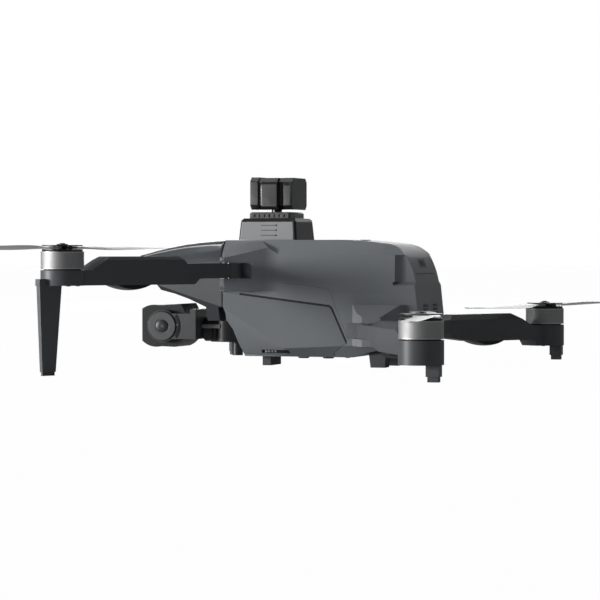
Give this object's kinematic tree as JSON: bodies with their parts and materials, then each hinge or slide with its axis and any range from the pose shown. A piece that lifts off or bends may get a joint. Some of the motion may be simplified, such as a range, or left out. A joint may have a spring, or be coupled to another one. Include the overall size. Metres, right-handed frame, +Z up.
{
  "type": "folding camera quadcopter",
  "caption": "Folding camera drone with a stabilised nose camera, a turning sensor turret on its back, and folding arms and propeller blades.",
  "frame": {"origin": "on the ground below the middle of the part, at the middle of its bounding box", "axes": "+X forward along the nose, +Y to the left side, +Z up"},
  "size_m": [0.2504, 0.4714, 0.1089],
  "materials": {
    "shell_grey": "fine satin moulded grey",
    "panel_grey": "lighter satin grey",
    "hood_gloss": "dark glossy grey",
    "arm_plastic": "dark satin",
    "leg_plastic": "dark satin",
    "lamp_lens": "smoked lens",
    "motor_copper": "varnished windings",
    "motor_bell": "turned satin aluminium",
    "hub_plastic": "black",
    "blade_plastic": "dark grey moulded",
    "sensor_glass": "dark window",
    "circuit_board": "green board",
    "sensor_black": "black",
    "rubber_grey": "grey",
    "steel": "ground",
    "gimbal_metal": "anodised",
    "rubber_black": "soft",
    "turret_black": "black satin",
    "turret_grey": "light satin grey",
    "cell_pouch": "blue film",
    "camera_black": "black satin",
    "lens_glass": "coated lens"
  },
  "bodies": {
    "airframe": {"upper_shell": "shell_grey", "lower_shell": "shell_grey", "left_side_panel": "panel_grey", "right_side_panel": "panel_grey", "nose_cover": "hood_gloss", "nose_frame": "shell_grey", "nose_sensors": "sensor_glass", "main_board": "circuit_board", "belly_sensor": "sensor_black", "belly_feet": "rubber_grey", "hinge_pins": "steel", "rear_hinge_housings": "shell_grey", "gimbal_plate": "gimbal_metal", "gimbal_dampers": "rubber_black", "turret_base": "turret_black", "turret_side_plates": "turret_grey", "turret_ring": "turret_black"},
    "battery": {"battery_case": "shell_grey", "battery_cells": "cell_pouch"},
    "battery_latch": {"battery_latch": "turret_black"},
    "power_button": {"power_button": "turret_black"},
    "gimbal_yaw": {"gimbal_yaw_arm": "arm_plastic"},
    "gimbal_roll": {"gimbal_roll_arm": "arm_plastic"},
    "camera": {"camera_housing": "camera_black", "camera_lens": "lens_glass"},
    "turret": {"turret_head": "turret_black", "turret_lenses": "sensor_glass"},
    "front_left_arm": {"front_left_arm": "arm_plastic", "front_left_leg": "leg_plastic", "front_left_arm_lamp": "lamp_lens", "front_left_motor_stator": "motor_copper"},
    "front_left_rotor": {"front_left_motor_bell": "motor_bell", "front_left_prop_hub": "hub_plastic"},
    "front_left_blade_outer": {"front_left_blade_outer": "blade_plastic"},
    "front_left_blade_inner": {"front_left_blade_inner": "blade_plastic"},
    "front_right_arm": {"front_right_arm": "arm_plastic", "front_right_leg": "leg_plastic", "front_right_arm_lamp": "lamp_lens", "front_right_motor_stator": "motor_copper"},
    "front_right_rotor": {"front_right_motor_bell": "motor_bell", "front_right_prop_hub": "hub_plastic"},
    "front_right_blade_outer": {"front_right_blade_outer": "blade_plastic"},
    "front_right_blade_inner": {"front_right_blade_inner": "blade_plastic"},
    "rear_left_arm": {"rear_left_arm": "arm_plastic", "rear_left_leg": "leg_plastic", "rear_left_arm_lamp": "lamp_lens", "rear_left_motor_stator": "motor_copper"},
    "rear_left_rotor": {"rear_left_motor_bell": "motor_bell", "rear_left_prop_hub": "hub_plastic"},
    "rear_left_blade_outer": {"rear_left_blade_outer": "blade_plastic"},
    "rear_left_blade_inner": {"rear_left_blade_inner": "blade_plastic"},
    "rear_right_arm": {"rear_right_arm": "arm_plastic", "rear_right_leg": "leg_plastic", "rear_right_arm_lamp": "lamp_lens", "rear_right_motor_stator": "motor_copper"},
    "rear_right_rotor": {"rear_right_motor_bell": "motor_bell", "rear_right_prop_hub": "hub_plastic"},
    "rear_right_blade_outer": {"rear_right_blade_outer": "blade_plastic"},
    "rear_right_blade_inner": {"rear_right_blade_inner": "blade_plastic"}
  },
  "joints": [
    {"name": "front_left_fold", "type": "hinge", "parent": "airframe", "child": "front_left_arm", "pos_m": [0.042, 0.033, 0.0555], "axis": [0, 0, 1], "range_deg": [0, 80]},
    {"name": "front_left_spin", "type": "hinge", "parent": "front_left_arm", "child": "front_left_rotor", "pos_m": [0.1006, 0.13369, 0.0614], "axis": [0, 0, 1], "continuous": true},
    {"name": "front_left_blade_outer_fold", "type": "hinge", "parent": "front_left_rotor", "child": "front_left_blade_outer", "pos_m": [0.10213, 0.14052, 0.0685], "axis": [0, 0, 1], "range_deg": [-85, 85]},
    {"name": "front_left_blade_inner_fold", "type": "hinge", "parent": "front_left_rotor", "child": "front_left_blade_inner", "pos_m": [0.09907, 0.12686, 0.0685], "axis": [0, 0, 1], "range_deg": [-85, 85]},
    {"name": "front_right_fold", "type": "hinge", "parent": "airframe", "child": "front_right_arm", "pos_m": [0.042, -0.033, 0.0555], "axis": [0, 0, -1], "range_deg": [0, 80]},
    {"name": "front_right_spin", "type": "hinge", "parent": "front_right_arm", "child": "front_right_rotor", "pos_m": [0.1006, -0.13369, 0.0614], "axis": [0, 0, -1], "continuous": true},
    {"name": "front_right_blade_outer_fold", "type": "hinge", "parent": "front_right_rotor", "child": "front_right_blade_outer", "pos_m": [0.10213, -0.14052, 0.0685], "axis": [0, 0, -1], "range_deg": [-85, 85]},
    {"name": "front_right_blade_inner_fold", "type": "hinge", "parent": "front_right_rotor", "child": "front_right_blade_inner", "pos_m": [0.09907, -0.12686, 0.0685], "axis": [0, 0, -1], "range_deg": [-85, 85]},
    {"name": "rear_left_fold", "type": "hinge", "parent": "airframe", "child": "rear_left_arm", "pos_m": [-0.04, 0.033, 0.022], "axis": [0, 0, 1], "range_deg": [-114, 0]},
    {"name": "rear_left_spin", "type": "hinge", "parent": "rear_left_arm", "child": "rear_left_rotor", "pos_m": [-0.1006, 0.13796, 0.0264], "axis": [0, 0, -1], "continuous": true},
    {"name": "rear_left_blade_outer_fold", "type": "hinge", "parent": "rear_left_rotor", "child": "rear_left_blade_outer", "pos_m": [-0.10223, 0.14477, 0.0335], "axis": [0, 0, 1], "range_deg": [0, 114]},
    {"name": "rear_left_blade_inner_fold", "type": "hinge", "parent": "rear_left_rotor", "child": "rear_left_blade_inner", "pos_m": [-0.09897, 0.13116, 0.0335], "axis": [0, 0, 1], "range_deg": [-30, 85]},
    {"name": "rear_right_fold", "type": "hinge", "parent": "airframe", "child": "rear_right_arm", "pos_m": [-0.04, -0.033, 0.022], "axis": [0, 0, -1], "range_deg": [-114, 0]},
    {"name": "rear_right_spin", "type": "hinge", "parent": "rear_right_arm", "child": "rear_right_rotor", "pos_m": [-0.1006, -0.13796, 0.0264], "axis": [0, 0, 1], "continuous": true},
    {"name": "rear_right_blade_outer_fold", "type": "hinge", "parent": "rear_right_rotor", "child": "rear_right_blade_outer", "pos_m": [-0.10223, -0.14477, 0.0335], "axis": [0, 0, -1], "range_deg": [0, 114]},
    {"name": "rear_right_blade_inner_fold", "type": "hinge", "parent": "rear_right_rotor", "child": "rear_right_blade_inner", "pos_m": [-0.09897, -0.13116, 0.0335], "axis": [0, 0, -1], "range_deg": [-30, 85]},
    {"name": "gimbal_yaw_turn", "type": "hinge", "parent": "airframe", "child": "gimbal_yaw", "pos_m": [0.055, 0, 0.026], "axis": [0, 0, 1], "range_deg": [-15, 15]},
    {"name": "gimbal_roll_turn", "type": "hinge", "parent": "gimbal_yaw", "child": "gimbal_roll", "pos_m": [0.069, 0, 0.0211], "axis": [1, 0, 0], "range_deg": [-15, 15]},
    {"name": "camera_pitch", "type": "hinge", "parent": "gimbal_roll", "child": "camera", "pos_m": [0.0901, 0, 0.0231], "axis": [0, 1, 0], "range_deg": [-20, 90]},
    {"name": "turret_turn", "type": "hinge", "parent": "airframe", "child": "turret", "pos_m": [0.0254, 0, 0.088], "axis": [0, 0, 1], "continuous": true},
    {"name": "battery_slide", "type": "slide", "parent": "airframe", "child": "battery", "axis": [-1, 0, 0], "range_m": [0, 0.07]},
    {"name": "battery_latch_press", "type": "slide", "parent": "battery", "child": "battery_latch", "axis": [1, 0, 0], "range_m": [0, 0.0012], "stiffness_N_per_m": 400},
    {"name": "power_button_press", "type": "slide", "parent": "battery", "child": "power_button", "axis": [0, 0, -1], "range_m": [0, 0.0008], "stiffness_N_per_m": 400}
  ],
  "couplings": [
    {"joint": "rear_left_blade_outer_fold", "follows": "rear_left_fold", "ratio": -1},
    {"joint": "rear_right_blade_outer_fold", "follows": "rear_right_fold", "ratio": -1}
  ]
}
